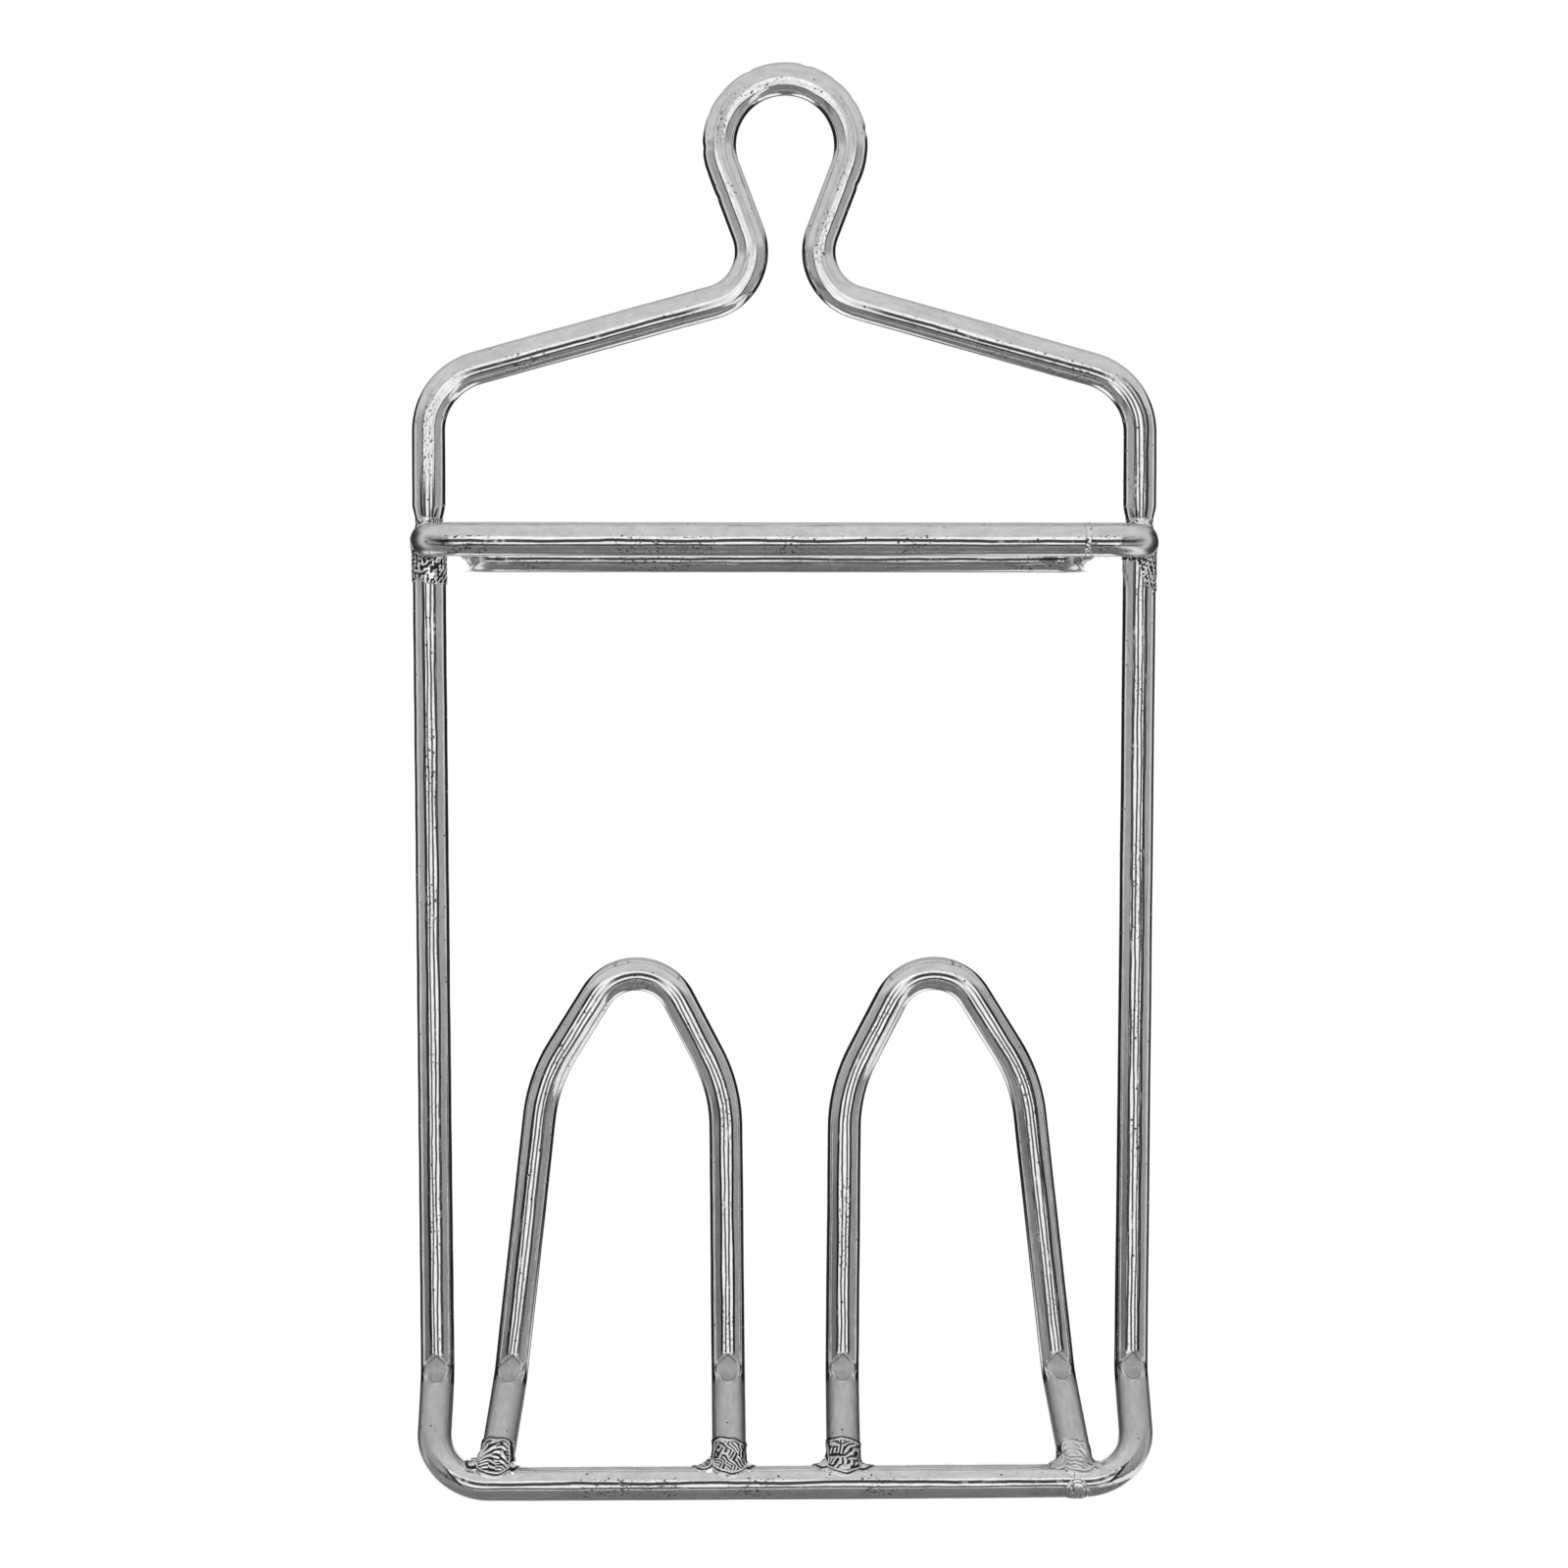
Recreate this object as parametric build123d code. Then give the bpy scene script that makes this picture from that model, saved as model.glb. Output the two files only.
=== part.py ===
"""Hanging bag rack of welded 6 mm wire.

A bent hanger wire with an eye stands on a horizontal stand-off loop. Under the loop hang
two frame wires that meet in a bottom bar, and two arched prongs stand on that bar to
hold a pack of carrier bags. The strip along the bottom is pressed forward across all the
upright wires at once. Every joint is a resistance weld.

Frame: millimetres, +Z up, +X to the right, front towards -Y. The origin is the centre of
the eye, and the upright wires stand in the plane Y = 0.
"""
import os
from math import cos, radians, sin, tan

from build123d import *

# Wire
WIRE_RADIUS = 3.0

# Hanger: eye, neck, shoulders and legs
EYE_RADIUS = 11.6            # centreline of the eye
NECK_ANGLE = 20.8            # lean of the neck's straight runs from vertical
NECK_RUN = 22.2              # from the eye's tangent point to the neck's corner
NECK_BEND_RADIUS = 9.2
SHOULDER_ANGLE = 15.6        # fall of the shoulders below horizontal
SHOULDER_BEND_RADIUS = 11.6
HALF_WIDTH_TOP = 62.9        # centreline of the hanger's legs and the loop's side runs
TIP_TAPER_LENGTH = 3.2       # cropped ends of the hanger's legs
TIP_RADIUS = 2.1

# Stand-off loop, lying flat behind the hanger
LOOP_HEIGHT = -69.7
LOOP_FRONT = -9.0
LOOP_BACK = 76.0
LOOP_BEND_RADIUS = 6.6
LOOP_SEAM_X = 52.6

# Lower frame
HALF_WIDTH_BOTTOM = 61.9
PRESS_LINE_HEIGHT = -217.6   # height of the press bend's corner
STRIP_ANGLE = 37.0           # turn of the strip towards the front
STRIP_LENGTH = 21.0          # from the press bend's corner to the bottom bar's centre
CORNER_BEND_RADIUS = 9.6
BAR_SEAM_X = 50.6

# Press bend and the flats that its punch leaves on the inside of each wire
PRESS_BEND_RADIUS = 5.3
PUNCH_DEPTH = 0.65

# Prongs: corner points of the right prong's arch, before its bends are rounded
PRONG_APEX = (25.7, -137.7)
PRONG_INNER_ELBOW = (10.6, -167.0)
PRONG_OUTER_ELBOW = (42.95, -165.3)
PRONG_INNER_FOOT_X = 10.0    # where each leg meets the bottom bar's centreline
PRONG_OUTER_FOOT_X = 51.2
PRONG_APEX_RADIUS = 8.5
PRONG_ELBOW_RADIUS = 28.0

# Welds
SET_DOWN = 0.8               # how far a wire's end sinks into the wire that it is welded to
SEAM_GAP = 0.8               # weld metal between two butted wire ends
HANGER_BEAD = (2.9, 3.1, 1.9)
FRAME_BEAD = (3.5, 3.9, 3.4)
FOOT_BEAD = (4.7, 3.5, 4.1)
FOOT_BEAD_RISE = 3.6         # from the bar's centreline up to the bead's centre
FRAME_BEAD_DROP = 0.5        # from the loop's underside down to the bead's centre
SEAM_BEAD_RADIUS = 3.25
SEAM_BEAD_LENGTH = 2.4
SEAM_BEAD_EDGE = 0.22        # rounding of the seam bead's rims


def wire(points, radii):
    """Round wire swept along straight runs joined by bends of the given radii."""
    path = FilletPolyline(*points, radius=radii)
    section = Plane(origin=path @ 0, z_dir=path % 0) * Circle(WIRE_RADIUS)
    return sweep(section, path=path)


def bead(centre, half_sizes):
    """Ellipsoid of weld metal, before the wires are cut out of it."""
    return Pos(*centre) * scale(Sphere(1.0), by=half_sizes)


def seam_bead(centre):
    """Low ring of weld metal round two wire ends that butt along X."""
    ring = Cylinder(SEAM_BEAD_RADIUS, SEAM_BEAD_LENGTH)
    ring = fillet(ring.edges().filter_by(GeomType.CIRCLE), SEAM_BEAD_EDGE)
    return Pos(*centre) * Rot(0, 90, 0) * ring


def mirrored(solid):
    """The same shape on the other side of the centre plane."""
    return mirror(solid, about=Plane.YZ)


def on_strip(x, distance):
    """Point on the strip's plane, at a distance below the press bend's corner."""
    angle = radians(STRIP_ANGLE)
    return (x, -distance * sin(angle), PRESS_LINE_HEIGHT - distance * cos(angle))


def hanger_wire():
    """Eye, neck, shoulders and legs, bent from one length of wire."""
    neck = radians(NECK_ANGLE)
    tangent_point = (EYE_RADIUS * cos(neck), -EYE_RADIUS * sin(neck))
    neck_corner = (tangent_point[0] - NECK_RUN * sin(neck), tangent_point[1] - NECK_RUN * cos(neck))
    shoulder_drop = (HALF_WIDTH_TOP - neck_corner[0]) * tan(radians(SHOULDER_ANGLE))
    tip_top = LOOP_HEIGHT + WIRE_RADIUS + TIP_TAPER_LENGTH
    side = FilletPolyline(
        (HALF_WIDTH_TOP, 0, tip_top),
        (HALF_WIDTH_TOP, 0, neck_corner[1] - shoulder_drop),
        (neck_corner[0], 0, neck_corner[1]),
        (tangent_point[0], 0, tangent_point[1]),
        radius=[SHOULDER_BEND_RADIUS, NECK_BEND_RADIUS],
    )
    eye = ThreePointArc(side @ 1, (0, 0, EYE_RADIUS), mirrored(side) @ 1)
    path = Wire([*side.edges(), *eye.edges(), *mirrored(side).edges()])
    start = Plane(origin=(HALF_WIDTH_TOP, 0, tip_top), z_dir=(0, 0, 1))
    bent = sweep(start * Circle(WIRE_RADIUS), path=path)
    tip = Pos(HALF_WIDTH_TOP, 0, tip_top - TIP_TAPER_LENGTH / 2)
    tip *= Cone(TIP_RADIUS, WIRE_RADIUS, TIP_TAPER_LENGTH)
    sunk = Pos(HALF_WIDTH_TOP, 0, tip_top - TIP_TAPER_LENGTH - SET_DOWN / 2)
    sunk *= Cylinder(TIP_RADIUS, SET_DOWN)
    return bent + tip + sunk + mirrored(tip) + mirrored(sunk)


def standoff_loop():
    """Closed rectangle of wire, with its butt seam near the front right corner."""
    right = HALF_WIDTH_TOP
    points = [
        (LOOP_SEAM_X + SEAM_GAP / 2, LOOP_FRONT, LOOP_HEIGHT),
        (right, LOOP_FRONT, LOOP_HEIGHT),
        (right, LOOP_BACK, LOOP_HEIGHT),
        (-right, LOOP_BACK, LOOP_HEIGHT),
        (-right, LOOP_FRONT, LOOP_HEIGHT),
        (LOOP_SEAM_X - SEAM_GAP / 2, LOOP_FRONT, LOOP_HEIGHT),
    ]
    return wire(points, [LOOP_BEND_RADIUS] * 4)


def frame_wire(side, bar_end_x):
    """One upright of the lower frame with its corner and its share of the bottom bar."""
    leg_top = LOOP_HEIGHT - WIRE_RADIUS + SET_DOWN
    points = [
        (side * HALF_WIDTH_TOP, 0, leg_top),
        on_strip(side * HALF_WIDTH_BOTTOM, 0),
        on_strip(side * HALF_WIDTH_BOTTOM, STRIP_LENGTH),
        on_strip(bar_end_x, STRIP_LENGTH),
    ]
    return wire(points, [PRESS_BEND_RADIUS, CORNER_BEND_RADIUS])


def leg_x(elbow, foot_x, distance):
    """Sideways place of a straight prong leg, at a distance below the press bend's corner."""
    whole = elbow[1] - PRESS_LINE_HEIGHT + STRIP_LENGTH
    done = elbow[1] - PRESS_LINE_HEIGHT + distance
    return elbow[0] + (foot_x - elbow[0]) * done / whole


def right_prong():
    """Pointed arch whose two legs follow the press bend down to the bottom bar."""
    foot = STRIP_LENGTH - WIRE_RADIUS + SET_DOWN
    legs = [(PRONG_INNER_ELBOW, PRONG_INNER_FOOT_X), (PRONG_OUTER_ELBOW, PRONG_OUTER_FOOT_X)]
    down = [[on_strip(leg_x(*leg, at), at) for at in (foot, 0)] for leg in legs]
    arch = [(x, 0, z) for x, z in (PRONG_INNER_ELBOW, PRONG_APEX, PRONG_OUTER_ELBOW)]
    radii = [
        PRESS_BEND_RADIUS,
        PRONG_ELBOW_RADIUS,
        PRONG_APEX_RADIUS,
        PRONG_ELBOW_RADIUS,
        PRESS_BEND_RADIUS,
    ]
    return wire([*down[0], *arch, *reversed(down[1])], radii)


def punch():
    """The press tool's nose: a bar across all the upright wires, on the bend's inside."""
    axis_height = PRESS_LINE_HEIGHT + PRESS_BEND_RADIUS * tan(radians(STRIP_ANGLE / 2))
    radius = PRESS_BEND_RADIUS - WIRE_RADIUS + PUNCH_DEPTH
    length = 2 * (HALF_WIDTH_TOP + 2 * WIRE_RADIUS)
    return Pos(0, -PRESS_BEND_RADIUS, axis_height) * Rot(0, 90, 0) * Cylinder(radius, length)


def foot_bead(side, foot_x):
    """Weld collar round a prong's foot, leaning with the strip."""
    place = Location(on_strip(side * foot_x, STRIP_LENGTH - FOOT_BEAD_RISE))
    return place * Rot(-STRIP_ANGLE, 0, 0) * scale(Sphere(1.0), by=FOOT_BEAD)


nose = punch()
loop = standoff_loop()
frame_left = frame_wire(-1, BAR_SEAM_X - SEAM_GAP / 2) - nose
frame_right = frame_wire(1, BAR_SEAM_X + SEAM_GAP / 2) - nose
prong_right = right_prong() - nose
bar = frame_left + frame_right

nodes = {
    "hanger_wire": hanger_wire() - loop,
    "standoff_loop": loop,
    "left_frame_wire": frame_left - loop,
    "right_frame_wire": frame_right - loop,
    "left_prong": mirrored(prong_right) - bar,
    "right_prong": prong_right - bar,
}
wires = list(nodes.values())

beads = {
    "loop_seam_weld": seam_bead((LOOP_SEAM_X, LOOP_FRONT, LOOP_HEIGHT)),
    "bar_seam_weld": seam_bead(on_strip(BAR_SEAM_X, STRIP_LENGTH)),
}
for side, name in ((-1, "left"), (1, "right")):
    x = side * HALF_WIDTH_TOP
    loop_top = LOOP_HEIGHT + WIRE_RADIUS
    frame_bead_height = LOOP_HEIGHT - WIRE_RADIUS - FRAME_BEAD_DROP
    beads[f"hanger_weld_{name}"] = bead((x, 0, loop_top), HANGER_BEAD)
    beads[f"frame_weld_{name}"] = bead((x, 0, frame_bead_height), FRAME_BEAD)
    beads[f"{name}_prong_outer_weld"] = foot_bead(side, PRONG_OUTER_FOOT_X)
    beads[f"{name}_prong_inner_weld"] = foot_bead(side, PRONG_INNER_FOOT_X)
beads["right_prong_outer_weld"] -= beads["bar_seam_weld"]

for name, shape in beads.items():
    for other in wires:
        shape -= other
    nodes[name] = shape

os.makedirs("parts", exist_ok=True)
for name, shape in nodes.items():
    export_step(shape, f"parts/{name}.step")
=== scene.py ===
"""Plastic bag holder: a hanging rack of welded, bright plated 6 mm wire, in a light tent.

Wires are swept tubes with drawn-wire waviness, cropped ends and press marks. Welds are skins
of weld metal grown over the wires that they join. Shapes are worked out in millimetres, in
the row frame, and scaled to metres when a mesh is made.
"""

from math import atan, cos, pi, radians, sin, sqrt, tan

import bmesh
import bpy
import numpy as np
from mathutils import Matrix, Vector


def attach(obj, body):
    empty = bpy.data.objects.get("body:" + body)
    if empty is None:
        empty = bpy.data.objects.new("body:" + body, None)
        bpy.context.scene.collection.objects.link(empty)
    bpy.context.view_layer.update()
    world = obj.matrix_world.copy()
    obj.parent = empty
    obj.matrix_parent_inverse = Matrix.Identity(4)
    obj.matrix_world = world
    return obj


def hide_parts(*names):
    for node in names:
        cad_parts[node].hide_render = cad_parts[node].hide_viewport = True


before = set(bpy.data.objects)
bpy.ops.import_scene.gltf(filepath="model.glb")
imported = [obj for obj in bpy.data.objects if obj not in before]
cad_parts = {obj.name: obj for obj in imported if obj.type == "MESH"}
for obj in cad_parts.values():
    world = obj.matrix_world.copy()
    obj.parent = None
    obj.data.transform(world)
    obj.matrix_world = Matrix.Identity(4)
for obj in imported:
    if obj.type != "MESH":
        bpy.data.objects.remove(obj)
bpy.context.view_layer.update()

MM = 0.001

# The rack's sizes, in millimetres. Radii and places are those of the wires' centrelines.
WIRE = 3.0                       # radius of every wire
EYE_RADIUS = 11.6
NECK_ANGLE = radians(20.8)       # lean of the neck's straight runs from vertical
NECK_RUN = 22.2                  # from the eye to the neck's corner
NECK_BEND = 9.2
SHOULDER_ANGLE = radians(15.6)   # fall of the shoulders below horizontal
SHOULDER_BEND = 11.6
HALF_TOP = 62.9                  # to the hanger's legs and the loop's side runs
TIP_TAPER = 3.2                  # length of the cropped ends of the hanger's legs
TIP_RADIUS = 2.1
TIP_CURVE = 0.8                  # under 1: the leg narrows most near its tip
LOOP_Z = -69.7
LOOP_FRONT = -9.0
LOOP_BACK = 76.0
LOOP_BEND = 6.6
LOOP_SEAM_X = 52.6
HALF_BOTTOM = 61.9
PRESS_Z = -217.6                 # height of the press bend's corner
STRIP_ANGLE = radians(37.0)      # turn of the pressed strip towards the front
STRIP = 21.0                     # from the press bend's corner to the bottom bar
CORNER_BEND = 9.6
BAR_SEAM_X = 50.6
PRESS_BEND = 5.3
PRONG_APEX = (25.7, -137.7)      # corners of the right prong, before they are rounded
PRONG_INNER_ELBOW = (10.6, -167.0)
PRONG_OUTER_ELBOW = (42.95, -165.3)
PRONG_INNER_FOOT = 10.0
PRONG_OUTER_FOOT = 51.2
APEX_BEND = 8.5
ELBOW_BEND = 28.0
SEAM_GAP = 0.8                   # weld metal between two butted ends
TOOL_MARK_DEPTH = 0.16           # of the marks round the eye's outside
TOOL_MARK_REACH = 2.5            # how far past the eye's circle they fade out
TOOL_MARK_WAVES = (4.3, 2.7)     # two lengths whose sum spaces them unevenly

# The meshes, in millimetres
SIDES = 88                            # points round a wire
STEP = 0.42                           # along a wire
FINE_STEP = 0.12                      # along a wire where the press has marked it
BED = 0.06                            # how far a coped end lies inside the wire it meets
WAVE_ROOM = 0.034                     # room for a wire's waviness inside its full radius
WAVE_DEPTH = 0.010
LAY_SHIFT = 137.0                     # keeps the patterns of two wires apart
EYE_POINTS = 110
CAP_RINGS = (0.88, 0.05), (0.5, 0.08)  # an end cap's rings: share of its radius, and height
CAP_TIP = 0.09                        # height of its middle
SKIN_NEAR, SKIN_FAR = 0.05, 11.0      # between which a weld's skin lies from its centre
MARCH_STEPS = 36                      # of each of the skin's points, out to the surface
MARCH_IN, MARCH_OUT = 0.2, 0.7        # the longest step each way
MARCH_SHARE = 0.6                     # of the distance still to go


# ---------------------------------------------------------------- lines and distances
def unit(v):
    return v / np.linalg.norm(v)


def rise(value, start, width):
    """0 up to a start, then evenly up to 1 over a width."""
    return np.clip((value - start) / width, 0, 1)


def fall(value, end, width):
    """1 until a width before an end, then evenly down to 0."""
    return np.clip((end - value) / width, 0, 1)


def straight(a, b):
    """Points from a to b, about a step apart."""
    count = max(2, int(np.ceil(np.linalg.norm(b - a) / STEP)) + 1)
    return a + (b - a) * np.linspace(0, 1, count)[:, None]


def rounded(points, radii):
    """Centreline along straight runs whose corners are rounded by the given radii."""
    points = [np.array(p, float) for p in points]
    start, runs = points[0], []
    for before, corner, after, radius in zip(points, points[1:], points[2:], radii):
        back, on = unit(before - corner), unit(after - corner)
        half = np.arccos(np.clip(back @ on, -1, 1)) / 2
        run = radius / tan(half)
        enter = corner + back * run
        centre = corner + unit(back + on) * radius / sin(half)
        turn = pi - 2 * half
        count = max(4, int(np.ceil(radius * turn / STEP)) + 1)
        angles = np.linspace(0, turn, count)[:, None]
        runs.append(straight(start, enter)[:-1])
        arc = centre + (enter - centre) * np.cos(angles) - back * radius * np.sin(angles)
        runs.append(arc[:-1])
        start = arc[-1]
    runs.append(straight(start, points[-1]))
    return np.concatenate(runs)


def on_strip(x, along, out=0.0):
    """Point on the pressed strip: along it from the bend's corner, and out from its front."""
    y = -along * sin(STRIP_ANGLE) - out * cos(STRIP_ANGLE)
    z = PRESS_Z - along * cos(STRIP_ANGLE) + out * sin(STRIP_ANGLE)
    return np.array([x, y, z])


STRIP_DOWN = on_strip(0, 1) - on_strip(0, 0)
STRIP_OUT = on_strip(0, 0, 1) - on_strip(0, 0)


def mirrored(line):
    """The same line on the other side of the rack's middle."""
    return line * np.array([-1.0, 1.0, 1.0])


def near(line, centre, reach=12.0):
    """The part of a line close to a point, without the points inside its straight runs."""
    close = line[np.linalg.norm(line - centre, axis=1) < reach]
    turns = np.linalg.norm(np.diff(close, 2, axis=0), axis=1) > 1e-6
    return close[np.concatenate([[True], turns, [True]])]


def to_line(p, line):
    """Distance from each point p to a line of short straight runs."""
    best = np.full(len(p), 1e9)
    for a, b in zip(line, line[1:]):
        d = b - a
        if d @ d < 1e-9:
            continue
        t = np.clip((p - a) @ d / (d @ d), 0, 1)
        best = np.minimum(best, np.linalg.norm(p - a - t[:, None] * d, axis=1))
    return best


def melt(a, b, width):
    """The smaller of two distances, with the crease between them filled over a width."""
    h = np.maximum(width - np.abs(a - b), 0) / width
    return np.minimum(a, b) - h * h * width / 4


def ellipsoid(p, centre, sizes):
    """Rough distance outside an ellipsoid, negative inside it."""
    return (np.linalg.norm((p - centre) / np.array(sizes), axis=1) - 1) * min(sizes)


def waves(p, seed, count, lengths):
    """Even, repeatable noise of about -1 to 1: a sum of plane waves."""
    rng = np.random.default_rng(seed)
    total = np.zeros(len(p))
    for _ in range(count):
        way = unit(rng.normal(size=3))
        total += np.sin(p @ way * 2 * pi / rng.uniform(*lengths) + rng.uniform(0, 2 * pi))
    return total / sqrt(count)


# ---------------------------------------------------------------- meshes
def new_piece(name, verts, faces, layers, material):
    """A finished piece from points in millimetres. It replaces the CAD node of its name."""
    mesh = bpy.data.meshes.new(name)
    mesh.from_pydata((verts * MM).tolist(), [], faces)
    for layer, values in layers.items():
        kind, key = ("FLOAT_VECTOR", "vector") if values.ndim == 2 else ("FLOAT", "value")
        data = mesh.attributes.new(layer, kind, "POINT").data
        data.foreach_set(key, values.astype(np.float32).ravel())
    mesh.polygons.foreach_set("use_smooth", [True] * len(mesh.polygons))
    mesh.update()
    piece = bpy.data.objects.new(name + "_look", mesh)
    bpy.context.scene.collection.objects.link(piece)
    mesh.materials.append(material)
    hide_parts(name)
    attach(piece, "root")


def frames(line):
    """Tangents and two cross directions along a line, carried along without twist."""
    tangents = np.gradient(line, axis=0)
    tangents /= np.linalg.norm(tangents, axis=1)[:, None]
    across = np.empty_like(line)
    first = np.array([0.0, 1.0, 0.0]) if abs(tangents[0][1]) < 0.7 else np.array([0.0, 0.0, 1.0])
    for i, t in enumerate(tangents):
        first = unit(first - (first @ t) * t)
        across[i] = first
    return tangents, across, np.cross(tangents, across)


def cope(ring, way, axis_point, axis_way, radius):
    """How far each point of a ring travels along way until it meets a round rod."""
    rel = ring - axis_point
    rel = rel - (rel @ axis_way)[:, None] * axis_way
    step = way - (way @ axis_way) * axis_way
    a = step @ step
    b = rel @ step
    c = (rel * rel).sum(1) - radius * radius
    under = np.maximum(b * b - a * c, 0)
    return (-b - np.sqrt(under)) / a


# The press bend: its arc's centre height, and half of its arc along the centreline
BEND_Z = PRESS_Z + PRESS_BEND * tan(STRIP_ANGLE / 2)
HALF_ARC = PRESS_BEND * STRIP_ANGLE / 2
MARK_START, MARK_END = -4.2, 4.6   # stations between which the press has marked the wire
SCUFF_END = 19.5                   # station on the strip where its scuffing stops
STRIP_SCUFF = 0.6                  # the strip's scuffing beside that of the flats

# The press's marks: small flats with a pointed top, a round bottom and a raised rim
MARK_TOP = PRESS_Z + 3.75     # tip of the pointed arch
MARK_CENTRE = PRESS_Z + 1.25  # centre of the round lower end
MARK_HALF = 1.85
ARM_SLOPE = 0.95              # half width gained per millimetre below the tip
BOWL_SQUASH = 0.95            # how much of a height counts in the round end
ARCH_MELT = 0.7               # rounding where the arms meet the round end
EDGE_WIDTH = 0.16
RIM_PLACE = 0.16              # outside the flat's edge
RIM_WIDTH = 0.17
RIM_HEIGHT = 0.13
FLAT_LIFT = 0.10              # of the flat above the chord of its own width

# The painted dark reflection lines: where they turn to on level runs, in radians below the wire's
# front
LINES_TURN = 0.13             # at the loop's height
LINES_TURN_PER_MM = 0.00209   # more for each millimetre above it


def press_station(points):
    """Distance of centreline points past the middle of the press bend, positive on the strip."""
    y, z = points[:, 1], points[:, 2]
    along = y * STRIP_DOWN[1] + (z - PRESS_Z) * STRIP_DOWN[2] - PRESS_BEND * tan(STRIP_ANGLE / 2)
    inside = PRESS_BEND * np.arctan2(BEND_Z - z, y + PRESS_BEND) - HALF_ARC
    low = np.where(along > 0, along + HALF_ARC, inside)
    return np.where(z > BEND_Z, BEND_Z - z - HALF_ARC, low)


def refined(line):
    """The same line with more points where the press has marked it."""
    parts = []
    for a, b, station in zip(line, line[1:], press_station(line)):
        count = 1
        if MARK_START - 0.6 < station < MARK_END + 0.6:
            count = max(1, int(round(np.linalg.norm(b - a) / FINE_STEP)))
        parts.append(a + (b - a) * (np.arange(count) / count)[:, None])
    return np.concatenate([*parts, line[-1:]])


def press_marks(line, tangents, rings, spoke):
    """Presses the small flats into the bend's inside. Also says where the wire is scuffed,
    1 in the flats and less on the strip, and where painted shade darkens it beside the arches."""
    station = press_station(line)
    turn = np.clip(station / PRESS_BEND + STRIP_ANGLE / 2, 0, STRIP_ANGLE)
    inward = np.stack([0 * turn, -np.cos(turn), np.sin(turn)], axis=1)
    aside = np.cross(tangents, inward)
    aside /= np.maximum(np.linalg.norm(aside, axis=1), 1e-6)[:, None]
    rel = rings - line[:, None]
    out = np.einsum("ijk,ik->ij", rel, inward)
    side = np.abs(np.einsum("ijk,ik->ij", rel, aside))
    height = rings[..., 2]
    inner = out > 0

    arms = (side - (MARK_TOP - height) * ARM_SLOPE) / sqrt(1 + ARM_SLOPE * ARM_SLOPE)
    bowl = np.hypot(side, np.clip(MARK_CENTRE - height, 0, None) * BOWL_SQUASH) - MARK_HALF
    edge = -melt(-arms, -bowl, ARCH_MELT)
    rim = RIM_HEIGHT * np.exp(-(((edge - RIM_PLACE) / RIM_WIDTH) ** 2)) * inner
    rings = rings + spoke * rim[:, :, None]
    flat = sqrt(WIRE * WIRE - MARK_HALF * MARK_HALF) + FLAT_LIFT
    sunk = np.clip(0.5 - edge / EDGE_WIDTH, 0, 1) * inner
    rings = rings - inward[:, None] * (sunk * np.clip(out - flat, 0, None))[:, :, None]

    strip = rise(station, HALF_ARC, 1.2) * fall(station, SCUFF_END, 6.0)
    scuffed = np.maximum(sunk, STRIP_SCUFF * strip[:, None])
    # Painted shade beside the marks' arches, from near their round ends up to the bend: it darkens
    # the colour there
    painted_shade = rise(edge, 0.1, 0.3) * inner
    painted_shade *= fall(height, BEND_Z + 0.25, 0.3) * rise(height, MARK_CENTRE - 0.4, 1.2)
    return rings, scuffed, painted_shade


def reflection_line_frame(line, tangents, spoke):
    """Where each point of a ring lies round the wire, for its painted reflection lines: how
    strong those of level runs are, then the sine and cosine of the angle from the lines' middle."""
    front = np.array([0.0, -1.0, 0.0]) + tangents * tangents[:, 1:2]
    front /= np.maximum(np.linalg.norm(front, axis=1), 1e-6)[:, None]
    aside = np.cross(tangents, front)
    level = rise(np.abs(tangents[:, 0]), 0.72, 0.2)
    # down is only sure on level runs: elsewhere it follows the nearest of them
    sure = np.flatnonzero(np.abs(aside[:, 2]) > 0.5)
    nearest = sure[np.abs(np.arange(len(line))[:, None] - sure).argmin(axis=1)]
    down = aside * -np.sign(aside[nearest, 2:3])
    turn = level * (LINES_TURN + LINES_TURN_PER_MM * (line[:, 2] - LOOP_Z))
    middle = front * np.cos(turn)[:, None] + down * np.sin(turn)[:, None]
    beside = down * np.cos(turn)[:, None] - front * np.sin(turn)[:, None]
    face = np.empty(spoke.shape)
    face[..., 0] = (level * reflection_line_strength(line))[:, None]
    face[..., 1] = np.einsum("ijk,ik->ij", spoke, beside)
    face[..., 2] = np.einsum("ijk,ik->ij", spoke, middle)
    return face


def reflection_line_strength(line):
    """The painted reflection lines are faint on the eye, the neck and the hanger's left leg,
    and left off the pressed strip."""
    x, z = line[:, 0], line[:, 2]
    hanger = rise(z, -62.0, 6.0)
    faint = np.maximum(fall(np.abs(x), 18.0, 6.0), rise(-x, 54.0, 5.0))
    station = press_station(line)
    lineless = rise(station, MARK_START, 0.8) * fall(station, SCUFF_END, 3.0)
    return (1 - 0.8 * hanger * faint) * (1 - lineless)


def drawn_radii(along, angles, seed):
    """Radii round each ring, with drawn wire's waviness: long waves that differ round it."""
    rng = np.random.default_rng(seed)
    radii = np.full((len(along), SIDES), WIRE - WAVE_ROOM)
    for turns in (1, 2, 2, 3, 3, 4, 5, 6):
        length = rng.uniform(9, 34)
        phase = along[:, None] * 2 * pi / length + angles[None] * turns + rng.uniform(0, 2 * pi)
        radii += np.sin(phase) * (WAVE_DEPTH / turns)
    return radii


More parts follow.
